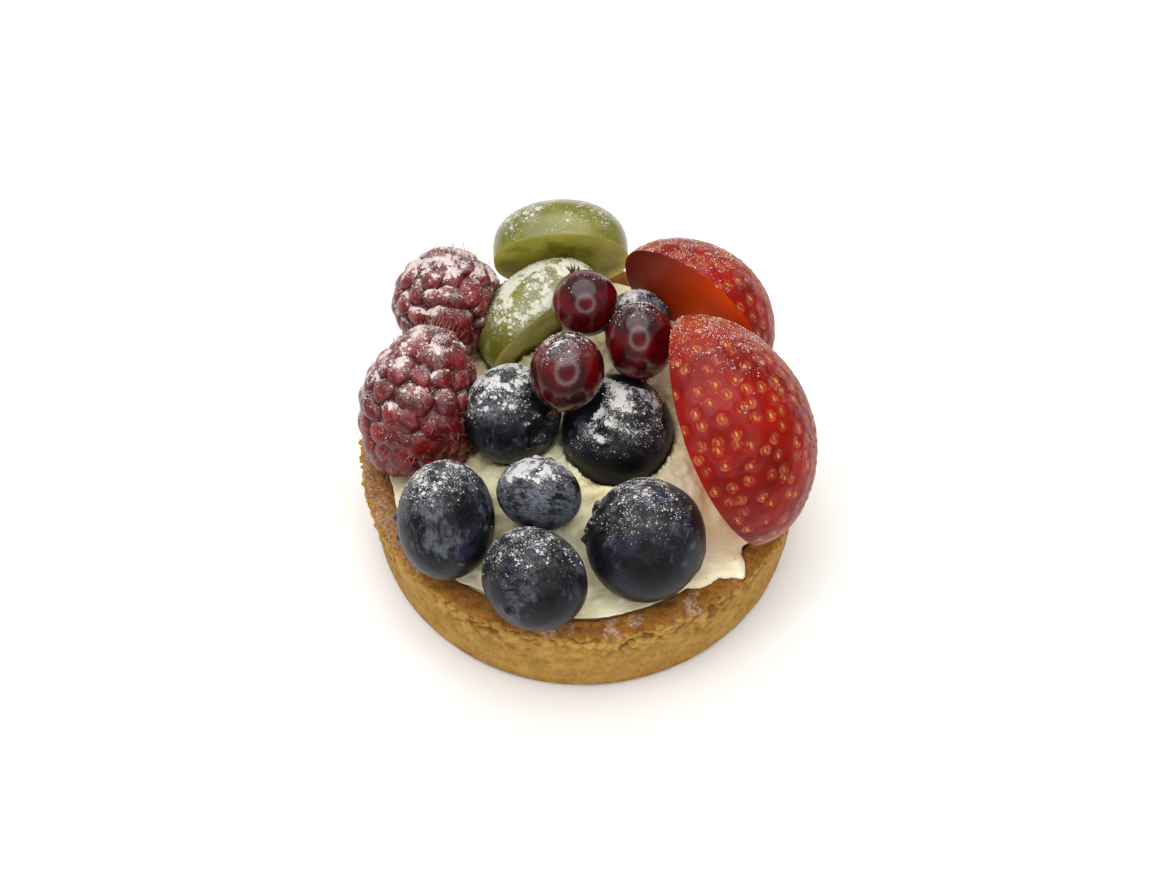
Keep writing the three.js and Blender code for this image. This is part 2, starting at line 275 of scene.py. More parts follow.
def unevenness(points, pitch, seed, layers=1):
    """Smooth random height, about -1 to 1: random numbers on the corners of cubes of side
    pitch are blended in between, and each further layer is twice as fine and half as high."""
    lattice = np.random.default_rng(seed).uniform(-1, 1, (32, 32, 32))
    total = np.zeros(points.shape[:-1])
    for layer in range(layers):
        spot = points / pitch * 2 ** layer + 5.3 * layer + 0.37 * seed
        corner = np.floor(spot).astype(int)
        ease = (spot - corner) ** 2 * (3 - 2 * (spot - corner))
        for dx, dy, dz in np.ndindex(2, 2, 2):
            weight = np.abs(1 - np.array([dx, dy, dz]) - ease).prod(-1)
            x, y, z = np.moveaxis((corner + (dx, dy, dz)) % 32, -1, 0)
            total += weight * lattice[x, y, z] / 2 ** layer
    return total


def crumbs(points, pitch, seed):
    """How far each point is from the nearest crumb's centre, in pitches, and that crumb's own
    number from 0 to 1: every cube of side pitch holds one centre, set at random."""
    random = np.random.default_rng(seed).uniform(0, 1, (32, 32, 32, 4))
    cube = np.floor(points / pitch).astype(int)
    nearest = np.full(points.shape[:-1], 9.0)
    number = np.zeros(points.shape[:-1])
    for shift in np.ndindex(3, 3, 3):
        beside = cube + shift - 1
        x, y, z = np.moveaxis(beside % 32, -1, 0)
        crumb = random[x, y, z]
        away = np.linalg.norm(points / pitch - beside - crumb[..., :3], axis=-1)
        number = np.where(away < nearest, crumb[..., 3], number)
        nearest = np.minimum(nearest, away)
    return nearest, number


def eased(value, low, high):
    """0 up to low, 1 from high on, and an S-curve between."""
    share = np.clip((value - low) / (high - low), 0, 1)
    return share ** 2 * (3 - 2 * share)


def turned(radius, turn, height):
    """Points at a radius and an angle round +Z, and at a height."""
    return np.stack(
        np.broadcast_arrays(radius * np.cos(turn), radius * np.sin(turn), height), -1)


def unit(vectors):
    """Vectors scaled to length 1, and those of no length left as they are."""
    length = np.linalg.norm(vectors, axis=-1, keepdims=True)
    return vectors / np.where(length > 0, length, 1)


def flat_rows(rings):
    """Rings of values laid end to end, the first and the last drawn together to one."""
    middle = rings[1:-1].reshape(-1, *rings.shape[2:])
    return np.concatenate([rings[:1].mean(1), middle, rings[-1:].mean(1)])


def skin_faces(rows, steps):
    """Faces over rows of closed rings, in the order of flat_rows: four-sided between rings,
    and a fan of triangles at each end."""
    step = np.arange(steps)
    after = (step + 1) % steps
    start = 1 + steps * np.arange(rows - 3)[:, None]
    quads = np.stack([start + step, start + after, start + steps + after, start + steps + step], -1)
    last = 1 + steps * (rows - 3)
    bottom = np.stack([0 * step, 1 + after, 1 + step], -1)
    top = np.stack([last + step, last + after, 0 * step + last + steps], -1)
    return quads.reshape(-1, 4).tolist() + bottom.tolist() + top.tolist()


def piece(name, points, faces, finish, slot, stands_for=(), marks=None, crisp=None):
    """One piece of the tart: its mesh, the marks on its points, its finish and body; slot is not
    used.
    """
    mesh = bpy.data.meshes.new(name)
    mesh.from_pydata((points * MM).tolist(), [], faces)
    mesh.polygons.foreach_set("use_smooth", np.ones(len(mesh.polygons), bool))
    if crisp:
        mesh.set_sharp_from_angle(angle=math.radians(crisp))
    for mark, values in (marks or {}).items():
        kind, field = ("FLOAT_VECTOR", "vector") if values.ndim == 2 else ("FLOAT", "value")
        attribute = mesh.attributes.new(mark, kind, "POINT")
        attribute.data.foreach_set(field, values.astype(np.float32).ravel())
    mesh.materials.append(finish.material)
    thing = bpy.data.objects.new(name, mesh)
    bpy.context.collection.objects.link(thing)
    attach(thing, "root")
    if stands_for:
        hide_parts(*stands_for)
    return thing


def arc(centre_r, centre_z, radius, start, end, steps):
    """Points of an outline round a centre, from one angle to another in degrees."""
    turn = np.radians(np.linspace(start, end, steps))
    return np.stack([centre_r + radius * np.cos(turn), centre_z + radius * np.sin(turn)], -1)


def line(start, end, steps):
    """Points of an outline evenly between two others, without those two."""
    return np.linspace(start, end, steps + 2)[1:-1]


def wall_inside(turn):
    """Inner radius of the wall at an angle: the wall's thickness off the outside, and waves."""
    strays = sum(swing * np.sin(waves * turn + start) for waves, swing, start in WALL_WAVES)
    return CASE_RADIUS - WALL + strays


def crust_rings():
    """The case's outline, from the middle of its underside out, up, over the rim and down to
    the middle of its floor, carried round; its surface then moves in and out by crumbs."""
    foot, inside = CASE_RADIUS - DRAW_IN, CASE_RADIUS - WALL
    outline = np.concatenate([
        np.linspace([0, 0], [foot - FOOT_ROUND, 0], 10)[:-1],
        arc(foot - FOOT_ROUND, FOOT_ROUND, FOOT_ROUND, -90, 0, 7),
        line([foot, FOOT_ROUND], [CASE_RADIUS, CASE_HEIGHT - RIM_ROUND], 84),
        arc(CASE_RADIUS - RIM_ROUND, CASE_HEIGHT - RIM_ROUND, RIM_ROUND, 0, 90, 11),
        line([CASE_RADIUS - RIM_ROUND, CASE_HEIGHT], [inside + RIM_ROUND, CASE_HEIGHT], 4),
        arc(inside + RIM_ROUND, CASE_HEIGHT - RIM_ROUND, RIM_ROUND, 90, 180, 9),
        line([inside, CASE_HEIGHT - RIM_ROUND], [inside, FLOOR], 14),
        np.linspace([inside, FLOOR], [0, FLOOR], 8),
    ])
    turn = np.linspace(0, 2 * np.pi, CRUST_STEPS, endpoint=False)
    radius, height = outline[:, :1], outline[:, 1:] + 0 * turn
    inner = np.clip((foot - radius) / WALL, 0, 1)
    radius = radius + inner * (wall_inside(turn) - inside) * (radius > 0)
    points = turned(radius, turn, height)
    along = unit(np.gradient(outline, axis=0))
    outward = turned(along[:, 1:], turn, -along[:, :1])

    baked = eased(height, 0.3, 2.0) * (radius > inside - 1)
    ragged = unevenness(points, 3.0, 31, 3)
    edge = eased(height + 3.6 * ragged, 12.0, 17.0) * (radius > foot - 1)
    rim = eased(height, 18.6, 19.4)
    coarse, number = crumbs(points * (1, 1, 0.7) + 0.9 * ragged[..., None], 1.6, 5)
    fine, _ = crumbs(points, 0.7, 6)
    pitted, pit_number = crumbs(points, 2.2, 7)
    lift = 0.25 * unevenness(points, 9, 4) + 0.10 * unevenness(points, 2.0, 8, 3)
    front = 0.45 + 0.55 * eased(-np.sin(turn), 0.2, 0.8)
    depth = 0.14 + 1.5 * front * edge * (1 - 0.75 * rim)
    lift += depth * (0.45 - coarse) * (0.1 + 1.1 * number)
    lift += (0.10 + 0.22 * edge) * (0.5 - fine)
    lift += 0.22 * rim * unevenness(points, 1.5, 34, 3)
    lift -= 0.6 * edge * (1 - rim) * eased(ragged, 0.1, 0.55)
    lift -= 0.30 * (1 - edge) * eased(unevenness(points, 2.4, 33, 3), 0.45, 0.9)
    lift -= 0.55 * (1 - eased(pitted, 0.1, 0.32)) * (pit_number > 0.7) * (1 - 0.6 * rim)
    points = points + outward * (lift * baked)[..., None]
    points[..., 2] -= 0.3 * eased(height, 17, 20)
    points[..., 2] = np.maximum(points[..., 2], 0)
    return points, (1 - eased(coarse, 0.2, 0.75)) * baked, edge * (1 - rim) * baked


def crust_finish():
    """Sandy tan, browned low down, toasted along the rim; painted highlight on torn-edge crumbs,
    painted shade between them.
    """
    finish = Finish("baked_shortcrust", specular_ior_level=0.25)
    height = finish.along("Z")
    grain, torn = finish.mark("crumb"), finish.mark("torn")
    upright = finish.stretched(finish.place, (1.0, 1.0, 0.5))
    mottle = finish.clouds(3.4, 4)
    fleck = finish.clouds(0.9, 4, upright, 0.65)
    spots = finish.clouds(0.6, 3, upright).eased(0.58, 0.72)
    toasted = (height + finish.clouds(2.6, 4) * 3.2).eased(19.0, 21.2) * (1 - torn * 0.7)
    scorched = finish.clouds(1.6, 5, rough=0.7).eased(0.46, 0.62)
    flaked = finish.clouds(1.1, 4, rough=0.7).eased(0.54, 0.64) * toasted
    left_front = (finish.along("X") * 0.94 + finish.along("Y") * 0.34).eased(-30, -37)
    patches = finish.clouds(5.5, 2).eased(0.54, 0.68) + left_front * 0.6
    sugared = patches.eased(0.1, 0.9) * toasted
    powder = sugared * finish.clouds(0.5, 4, rough=0.7).eased(0.4, 0.62)
    colour = finish.layered(
        CRUST_TAN,
        (fleck.eased(0.34, 0.66), CRUST_GOLD),
        (mottle.eased(0.45, 0.7) * 0.5, CRUST_PALE),
        (finish.clouds(7, 3).eased(0.5, 0.7) * 0.35, CRUST_BROWN),
        (spots * 0.28, CRUST_BROWN),
        # along the torn edge: painted highlight on the raised crumbs and painted shade in the
        # crevices between them
        (torn * grain.eased(0.3, 0.9) * 0.7, CRUST_PALE),
        (torn * grain.eased(0.35, 0.0) * 0.75, CRUST_BROWN),
        (toasted * 0.75, CRUST_TOASTED),
        ((height + mottle * 2.5).eased(3.6, 1.0) * 0.55, CRUST_BROWN),
        (toasted * scorched * 0.75, CRUST_BROWN),
        (flaked * 0.5, CRUST_GOLD),
        (powder * 0.3, SUGAR_WHITE))
    relief = fleck * 0.8 + finish.clouds(0.5, 3, upright) * 0.6 + flaked * 0.5
    return finish.done(colour, 0.8, relief, 0.3)


crust_points, crust_grain, crust_torn = crust_rings()
piece(
    "shortcrust_case", flat_rows(crust_points), skin_faces(*crust_points.shape[:2]),
    crust_finish(), "crust", ["crust"],
    {"crumb": flat_rows(crust_grain), "torn": flat_rows(crust_torn)})


# ---- the cream ----
# Thick cream, spooned into the case and spread, heaped higher at the back and right to bed the
# fruit. The fruit is pressed into it, and at the front right a tongue of it laps the rim.

CREAM_LAP, CREAM_LIP, CREAM_CROWN = 2.4, 0.8, 2.4
CREAM_ROWS, CREAM_STEPS = 96, 420
CREAM_CLEARANCE = 0.35
LAP_ANGLE, LAP_SPREAD = math.radians(310), math.radians(9)
HEAPS = (  # centre, height and spread
    (-3, 25, 4, 9), (17, 18, 11, 9), (22, 0, 7, 10), (-7, -18, 4, 6), (3, 9, 7, 8),
    (0, -14, 3.4, 15), (15, -12, 2.5, 6))
MAP_CELL = 0.5
MAP_REACH = 45.0
CREAM_IVORY = tint(255, 246, 212)
CREAM_SHADE = tint(247, 231, 178)
CREAM_SPECK = tint(160, 148, 90)
JUICE_PINK = tint(214, 110, 100)


def skin_samples(node, steps=9):
    """Points spread over a CAD solid, in millimetres: a small grid over each triangle."""
    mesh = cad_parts[node].data
    corners = np.empty(len(mesh.vertices) * 3, np.float32)
    mesh.vertices.foreach_get("co", corners)
    corners = corners.reshape(-1, 3) / MM
    mesh.calc_loop_triangles()
    triangles = np.empty(len(mesh.loop_triangles) * 3, np.int32)
    mesh.loop_triangles.foreach_get("vertices", triangles)
    a, b, c = np.moveaxis(corners[triangles.reshape(-1, 3)], 1, 0)
    s, t = np.meshgrid(np.linspace(0, 1, steps), np.linspace(0, 1, steps))
    inside = s + t <= 1
    s, t = s[inside][:, None, None], t[inside][:, None, None]
    return (a * (1 - s - t) + b * s + c * t).reshape(-1, 3)


def cells_of(points):
    """Row and column of the square of the height map that each point lies over."""
    cell = np.rint((points[..., :2] + MAP_REACH) / MAP_CELL).astype(int)
    return tuple(np.moveaxis(np.clip(cell, 0, int(2 * MAP_REACH / MAP_CELL) - 1), -1, 0))


def widened(heights):
    """Each square of a height map takes the lowest of itself and its four neighbours."""
    moves = [(shift, axis) for axis in (0, 1) for shift in (-1, 0, 1)]
    return np.minimum.reduce([np.roll(heights, *move) for move in moves])


FRUIT_NODES = [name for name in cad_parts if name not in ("crust", "cream")]
fruit_samples = {name: skin_samples(name) for name in FRUIT_NODES}
map_size = int(2 * MAP_REACH / MAP_CELL)
undersides = np.full((map_size, map_size), 99.0)
skyline = np.full((map_size, map_size), -99.0)
for samples in fruit_samples.values():
    np.minimum.at(undersides, cells_of(samples), samples[:, 2])
    np.maximum.at(skyline, cells_of(samples), samples[:, 2])
undersides = widened(undersides)


def open_sky(points):
    """1 where nothing lies above a point, 0 well under other fruit."""
    return 1 - eased(skyline[cells_of(points)] - points[..., 2], 1.5, 5.0)


def cream_height(x, y):
    """Height of the spread cream: a low crown, a soft hill for each heap, and spoon marks."""
    rim = np.minimum(1, np.hypot(x, y) / (CASE_RADIUS - WALL))
    spot = np.stack([x, y, 0 * x], -1)
    height = CASE_HEIGHT + CREAM_CROWN * (1 - rim ** 2)
    for heap_x, heap_y, rise, spread in HEAPS:
        away = np.hypot(x - heap_x, y - heap_y) / spread
        height += rise * np.exp(-away ** 2) * (1 - rim ** 12)
    height += 0.9 * unevenness(spot, 4.8, 11) + 0.8 * unevenness(spot, 2.0, 13, 3)
    return height + unevenness(spot * (0.45, 1.0, 1.0), 3.4, 12, 2)


def cream_rings():
    """The filling's outline carried round: across its underside, up the wall, out over the rim
    where it laps, and back in over its top, which stays under the fruit pressed into it."""
    turn = np.linspace(0, 2 * np.pi, CREAM_STEPS, endpoint=False)
    wall = wall_inside(turn) - 0.3
    lap = CREAM_LAP * np.exp(-((turn - LAP_ANGLE) / LAP_SPREAD) ** 2)
    ragged = unevenness(turned(9, turn, 0), 0.7, 14, 3)
    edge = wall + 0.7 + lap + 0.7 * ragged * (0.6 + lap)
    share = np.linspace(1, 0, CREAM_ROWS)[:, None] ** 0.85
    top_radius = share * edge
    x, y = top_radius * np.cos(turn), top_radius * np.sin(turn)
    lip = CASE_HEIGHT + 0.3
    rounding = 1 - eased(edge - top_radius, 0, 1.3)
    top = np.maximum(cream_height(x, y) - 0.4, lip + 0.1) - rounding * 0.5
    top = np.maximum(top, lip + 0.05 + CREAM_LIP * (1 - rounding) ** 0.5 * (lap > 0.3))
    spots = np.stack([x, y, top], -1)
    banked = np.where(edge - top_radius < 1.2, lip - 0.4, 0)
    pressed = np.minimum(top, undersides[cells_of(spots)] - CREAM_CLEARANCE)
    spots[..., 2] = np.maximum(pressed, banked)
    under = turned(np.linspace(0, 1, 5)[:, None] * wall, turn, FLOOR + 0.3)
    side = turned(wall, turn, np.linspace(FLOOR + 1, CASE_HEIGHT - 0.6, 12)[:, None])
    shelf = turned(wall + (edge - wall) * 0.9, turn, lip - 0.1)[None]
    return np.concatenate([under, side, shelf, spots])


cream_points = cream_rings()
cream_flat = flat_rows(cream_points)
berry_foot = fruit_samples["strawberry_half_right"]
berry_foot = berry_foot[berry_foot[:, 2] < 27][::7]
juice = np.full(len(cream_flat), 99.0)
for foot in np.array_split(berry_foot, 40):
    juice = np.minimum(juice, np.linalg.norm(cream_flat[:, None] - foot[None], axis=-1).min(1))

cream_finish = Finish(
    "spread_cream", specular_ior_level=0.4, subsurface_weight=0.3, subsurface_scale=0.002,
    subsurface_radius=(1.0, 0.8, 0.5))
stained = cream_finish.mark("juice") * cream_finish.clouds(1.6, 2).eased(0.35, 0.6)
cream_finish.done(cream_finish.layered(
    CREAM_SHADE,
    (cream_finish.clouds(4.5, 3).eased(0.3, 0.7), CREAM_IVORY),
    (cream_finish.grains(2.6).eased(0.1, 0.04) * 0.6, CREAM_SPECK),
    (stained * 0.4, JUICE_PINK)), 0.42, cream_finish.clouds(1.3, 4), 0.3)
piece(
    "cream_filling", cream_flat, skin_faces(*cream_points.shape[:2]), cream_finish, "cream",
    ["cream"], {"juice": 1 - eased(juice, 0.5, 2.2)})


# ---- blueberries ----
# Whole fresh blueberries, set in the cream at the front and in the middle: near-black skin
# under a cloudy wax bloom, rubbed off in streaks, and a five-lobed crown around a small hollow.

BLUEBERRY_ROWS, BLUEBERRY_STEPS = 96, 150
CROWN_RADIUS, CROWN_DEPTH, CROWN_RIM = 0.27, 0.13, 0.045
STEM_SCAR, STEM_DEPTH = 0.13, 0.07
BLUEBERRIES = (
    # name, centre, width, height, crown, bloom, sugar starts, sugar full, heaviness
    ("front_left", (-21.3, -21.5, 28.9), 18.7, 14.9, (-0.97, 0.1, -0.22), 0.5, 0.35, 1.1, 0.8),
    ("front", (-7.4, -31.1, 27.4), 16.8, 14.6, (0.46, 0.85, -0.25), 0.3, 0.0, 1.3, 0.7),
    ("front_right", (9.8, -24.6, 28.1), 19.4, 18.6, (-0.94, 0.29, 0.19), 0.28, 0.25, 1.25, 0.66),
    ("raised", (-6.8, -18.2, 31.3), 13.4, 11.2, (0.2, 0.95, 0.25), 0.95, 0.2, 1.0, 0.95),
    ("middle_left", (-11.5, -1.7, 29.2), 16.8, 14.6, (0.6, -0.71, 0.36), 0.35, -0.05, 0.95, 1.0),
    ("middle_right", (5.6, -3.6, 27.4), 18.4, 16.4, (0.3, 0.6, -0.74), 0.35, -0.2, 0.9, 1.05),
    ("back", (9.0, 14.5, 32.5), 11.2, 10.4, (0.3, 0.3, -0.9), 0.5, 0.0, 1.0, 0.9),
)
BERRY_BLACK = tint(8, 8, 10)
BERRY_NAVY = tint(20, 20, 27)
BERRY_BLOOM = tint(110, 113, 124)
BERRY_VIOLET = tint(40, 43, 66)
BERRY_DUSTED = tint(214, 211, 208)
BERRY_SIDE = (0.31, 0.17, 0.94)
SUGAR_FALL = (-0.12, 0.55, 0.82)

dusted = []  # what the icing sugar later settles on: points, faces, start, full, heaviness


def ball(rows, steps):
    """Unit directions over a ball in rings from its south pole to its north pole, with the
    angle up from the middle and the angle round."""
    rise = np.linspace(-np.pi / 2, np.pi / 2, rows)[:, None]
    turn = np.linspace(0, 2 * np.pi, steps, endpoint=False)[None]
    return turned(np.cos(rise), turn, np.sin(rise)), rise + 0 * turn, turn + 0 * rise


def set_down(points, at, up, side):
    """Local points carried to their place: local +Z along up, local +Y on the side's side."""
    z = unit(np.array(up, float))
    x = unit(np.cross(side, z))
    return points @ np.array([x, np.cross(z, x), z]) + np.array(at)


def blueberry_rings(across, tall, seed):
    """An ellipsoid with slow dents. Near the north pole its surface sinks into the crown's
    hollow inside a ring that swells into five lobes; at the south pole is the stem's scar."""
    directions, rise, turn = ball(BLUEBERRY_ROWS, BLUEBERRY_STEPS)
    off_pole = np.cos(rise)
    north = np.sin(rise) > 0
    lobes = np.cos(5 * turn + seed) + 0.35 * np.cos(11 * turn + 2 * seed)
    ring = CROWN_RADIUS * (1.08 + 0.10 * lobes)
    swell = CROWN_RIM * (1 + 0.75 * lobes) * np.exp(-((off_pole - ring) / 0.055) ** 2)
    hollow = -CROWN_DEPTH * (1 - eased(off_pole, 0.5 * CROWN_RADIUS, 1.02 * CROWN_RADIUS))
    scar = -STEM_DEPTH * (1 - eased(off_pole, 0.4 * STEM_SCAR, 1.1 * STEM_SCAR))
    scar += 0.018 * np.exp(-((off_pole - 1.3 * STEM_SCAR) / 0.05) ** 2)
    lift = np.where(north, swell + hollow, scar)
    dents = 0.012 * unevenness(directions, 0.6, seed)
    dents += 0.004 * unevenness(directions, 0.14, seed + 40)
    return directions * (1 + lift + dents)[..., None] * np.array([across, across, tall]) / 2


def dusting(finish, start, full, heavy, patch=2.4):
    """Share of the surface under icing sugar: it grows as the surface turns towards where the
    sugar fell from, gathers in patches, and breaks up into lumps and then single specks."""
    facing = finish.towards(SUGAR_FALL).eased(start, full) * finish.mark("open")
    density = facing * (finish.clouds(patch, 3).eased(0.36, 0.64) * 0.8 + 0.2) * heavy
    speck = (density * 0.8 - finish.grains(0.25)).eased(-0.08, 0.1) * 0.75
    lump = (density * 0.8 - finish.grains(0.75)).eased(-0.04, 0.08)
    flake = (density * 0.7 - finish.grains(1.25)).eased(-0.03, 0.08)
    haze = density * finish.clouds(0.8, 4).eased(0.35, 0.75) * 0.45
    lump = lump * finish.clouds(1.7, 2).eased(0.42, 0.52)
    return speck.largest(lump).largest(flake * 0.9).largest(haze)


def settle(name, rings, finish, slot, node, sugar, marks, crisp=None):
    """A piece of fruit from its rings, which icing sugar then falls on: start, full, heaviness."""
    points, faces = flat_rows(rings), skin_faces(*rings.shape[:2])
    marks = {mark: flat_rows(values) for mark, values in marks.items()}
    piece(name, points, faces, finish, slot, [node], {**marks, "open": open_sky(points)}, crisp)
    dusted.append((points, faces, *sugar))


def blueberry_finish(name, bloom, sugar):
    """Black and navy skin under cloudy wax, with icing sugar on top."""
    finish = Finish(name, specular_ior_level=0.16)
    skin = finish.mark("skin", "Vector")
    streaks = finish.clouds(0.30 / MM, 4, finish.stretched(skin, (1.0, 1.0, 0.28)), 0.6, 0.6)
    swirls = finish.clouds(0.22 / MM, 3, finish.stretched(skin, (0.6, 0.6, 1.7)), 0.6, 1.0)
    patches = finish.clouds(0.8 / MM, 3, skin, 0.5)
    powder = finish.clouds(0.07 / MM, 3, skin, 0.75).eased(0.36, 0.62)
    wax = patches * 0.65 + streaks * 0.25 + swirls * 0.4
    wax = wax.eased(0.71 - 0.14 * bloom, 0.84 - 0.14 * bloom)
    wax = (wax * 0.9 + powder * 0.08) * (0.4 + 0.6 * powder) * (0.45 + 0.6 * bloom)
    sugar = dusting(finish, *sugar)
    colour = finish.layered(
        BERRY_BLACK,
        (patches.eased(0.35, 0.65), BERRY_NAVY),
        (finish.clouds(0.6 / MM, 2, skin).eased(0.56, 0.72) * 0.5, BERRY_VIOLET),
        (wax * 0.85, BERRY_BLOOM),
        (sugar * 0.9, BERRY_DUSTED))
    relief = finish.clouds(0.35, 3) * 0.25 + sugar
    return finish.done(colour, 0.36 + wax * 0.3 + sugar * 0.3, relief, 0.10)


for seed, (name, at, across, tall, crown, bloom, *sugar) in enumerate(BLUEBERRIES, 1):
    local = blueberry_rings(across, tall, seed)
    settle(
        f"fruit_blueberry_{name}", set_down(local, at, crown, BERRY_SIDE),
        blueberry_finish(f"blueberry_skin_{name}", bloom, sugar), "blueberry_skin",
        f"blueberry_{name}", sugar, {"skin": ball(*local.shape[:2])[0] + 3.1 * seed})


# ---- currants ----
# Three round dark currants perched on top, washed and glossy, each with the shrivelled brown
# remains of its flower at the tip.

CURRANT_ROWS, CURRANT_STEPS = 64, 96
CURRANTS = (
    ("back", (0.4, 13.0, 39.6), 10.9, 10.9, (-0.35, 0.79, 0.51), 0.5, 1.3, 0.25),
    ("left", (-2.5, -1.0, 40.0), 11.8, 12.7, (-0.3, -0.776, -0.5), 0.3, 1.05, 0.62),
    ("right", (9.1, 5.1, 39.9), 11.2, 12.5, (0.1, -0.5, -0.85), 0.35, 1.15, 0.45),
)
CURRANT_DARK = tint(44, 1, 4)
CURRANT_RED = tint(98, 5, 12)
CURRANT_VEIN = tint(150, 70, 76)
FLOWER_BROWN = tint(118, 74, 46)
FLOWER_DARK = tint(60, 34, 22)
FLOWER_SHREDS = 11
CURRANT_SIDE = (0.9, 0.2, 0.3)


def currant_rings(across, tall, seed):
    """An ellipsoid with slow dents and a small nipple where the dried flower is fixed."""
    directions, rise, _ = ball(CURRANT_ROWS, CURRANT_STEPS)
    nipple = 0.07 * np.exp(-(np.cos(rise) / 0.12) ** 2) * (rise > 0)
    dents = 0.008 * unevenness(directions, 0.7, seed + 60)
    return directions * (1 + nipple + dents)[..., None] * np.array([across, across, tall]) / 2


def currant_finish(name, sugar):
    """Burgundy skin, half clear over pale veins, with icing sugar on top."""
    finish = Finish(
        name, specular_ior_level=0.3, coat_roughness=0.14, subsurface_weight=0.2,
        subsurface_scale=0.003, subsurface_radius=(1.0, 0.15, 0.15))
    skin = finish.mark("skin", "Vector")
    veins = finish.clouds(0.16 / MM, 3, finish.stretched(skin, (1.0, 1.0, 0.12)), 0.5, 0.3)
    sugar = dusting(finish, *sugar, 1.6)
    colour = finish.layered(
        CURRANT_DARK,
        (finish.clouds(0.8 / MM, 2, skin).eased(0.35, 0.7), CURRANT_RED),
        (veins.eased(0.58, 0.75) * 0.18, CURRANT_VEIN),
        (sugar * 0.85, BERRY_DUSTED))
    relief = sugar + finish.clouds(0.5, 2) * 0.15
    return finish.done(colour, 0.2 + sugar * 0.6, relief, 0.08, 0.35)


def shred(root, tip, width, bend, steps=6, sides=5):
    """A dried strip: a flattened rod along a bent line from root to tip, thinning to a point."""
    share = np.linspace(0, 1, steps)[:, None]
    spine = root + (tip - root) * share + bend * np.sin(np.pi * share) * share
    along = unit(tip - root)
    side = unit(np.cross(along, [0.31, 0.52, 0.79]))
    other = np.cross(along, side)
    turn = np.linspace(0, 2 * np.pi, sides, endpoint=False)
    girth = width * (1 - share ** 2 * 0.92)[..., None]
    around = side * np.cos(turn)[:, None] + other * 0.45 * np.sin(turn)[:, None]
    rings = spine[:, None] + girth * around
    ends = np.repeat(spine[[0, -1], None], sides, 1)
    return np.concatenate([ends[:1], rings, ends[1:]])


def joined(parts):
    """Several closed skins as one list of points and one of faces."""
    points, faces, count = [], [], 0
    for rings in parts:
        flat = flat_rows(rings)
        faces += [[count + corner for corner in face] for face in skin_faces(*rings.shape[:2])]
        points.append(flat)
        count += len(flat)
    return np.concatenate(points), faces


dried_flower = Finish("dried_flower", specular_ior_level=0.2)
dried_flower.done(
    dried_flower.blend(dried_flower.clouds(0.5, 3).eased(0.4, 0.65), FLOWER_DARK, FLOWER_BROWN),
    0.85, dried_flower.clouds(0.3, 2), 0.08)

for seed, (name, at, across, tall, tip, *sugar) in enumerate(CURRANTS, 1):
    local = currant_rings(across, tall, seed)
    start, full, heavy = sugar
    settle(
        f"fruit_currant_{name}", set_down(local, at, tip, CURRANT_SIDE),
        currant_finish(f"currant_skin_{name}", sugar), "currant_skin",
        f"currant_{name}", (start, full, heavy * 0.8),
        {"skin": ball(*local.shape[:2])[0] + 2.3 * seed})
    random = np.random.default_rng(80 + seed)
    end = tall / 2
    shreds = []
    for k in range(FLOWER_SHREDS):
        turn = 2 * np.pi * k / FLOWER_SHREDS + random.uniform(-0.3, 0.3)
        reach, spread = random.uniform(0.7, 1.7), random.uniform(0.3, 1.15)
        strip = shred(
            turned(0.25, turn, end * 0.97), turned(spread, turn, end + reach),
            random.uniform(0.16, 0.32), random.uniform(-0.4, 0.4, 3))
        shreds.append(set_down(strip, at, tip, CURRANT_SIDE))
    piece(f"flower_currant_{name}", *joined(shreds), dried_flower, "currant_skin")


# ---- raspberries ----
# Two whole raspberries lying at the left, soft and matt: a blunt cone of drupelets around a
# hollow, with fine hairs all over, pushed in where they lean on firmer fruit.

RASPBERRY_ROWS, RASPBERRY_STEPS = 190, 260
DRUPELET_ACROSS = 3.5
DRUPELET_ROW_PITCH = 3.4
RASPBERRY_BASE, RASPBERRY_TAPER = 0.78, 0.32
RASPBERRIES = (
    ("left", (-26.6, 0.6, 29.2), 20.0, 26.0, (0.2, 0.6, 0.78), 0.0, 1.1, 1.0),
    ("back_left", (-23.3, 22.4, 28.7), 19.2, 18.6, (0.0, 0.2, 0.98), -0.1, 0.9, 1.1),
)
RASPBERRY_DEEP = tint(72, 6, 10)
RASPBERRY_RED = tint(120, 12, 14)
RASPBERRY_PINK = tint(176, 104, 104)
RASPBERRY_CLEFT_SHADE = tint(46, 4, 8)
RASPBERRY_DUSTED = tint(236, 220, 216)
RASPBERRY_SIDE = (0.8, -0.5, 0.1)
HAIR_PALE = tint(206, 164, 150)
HAIR_RED = tint(150, 84, 74)
HAIRS = 260
HAIR_WIDTH, HAIR_ROOT, HAIR_REACH = 0.05, 0.2, (1.0, 2.7)
FIRM_FRUIT = (
    # centre, half sizes along local X, Y and Z, direction of local Z, side
    *((at, (across / 2, across / 2, tall / 2), crown, BERRY_SIDE)
      for _, at, across, tall, crown, *_ in BLUEBERRIES),
    ((-3.9, 31.6, 30.5), (9.75, 9.75, 11.8), (0.998, 0.03, 0.02), (0, 0.987, 0.164)),
    ((-6.9, 19.6, 26.6), (9.75, 9.75, 12.1), (0.79, 0.512, 0.332), (-0.592, 0.775, 0.217)),
)


def raspberry_outline(across, tall, rise):
    """Radius and height of the cone at an angle up from its middle: a blunt-shouldered oval
    that tapers towards the tip, its base cut to a hollow."""
    taper = 1 - RASPBERRY_TAPER * np.clip(np.sin(rise), 0, 1) ** 1.5
    bluntness = np.where(rise < 0, 0.62, 0.8)
    radius = taper * np.clip(np.cos(rise), 0, 1) ** bluntness * (across / 2 - 0.9)
    height = np.maximum(np.sin(rise), -1) * (tall / 2 - 0.85)
    sunk = 1 - eased(radius, 0, 0.35 * across)
    return radius, height + np.where(rise < 0, (1 - RASPBERRY_BASE) * tall / 2 * sunk, 0)


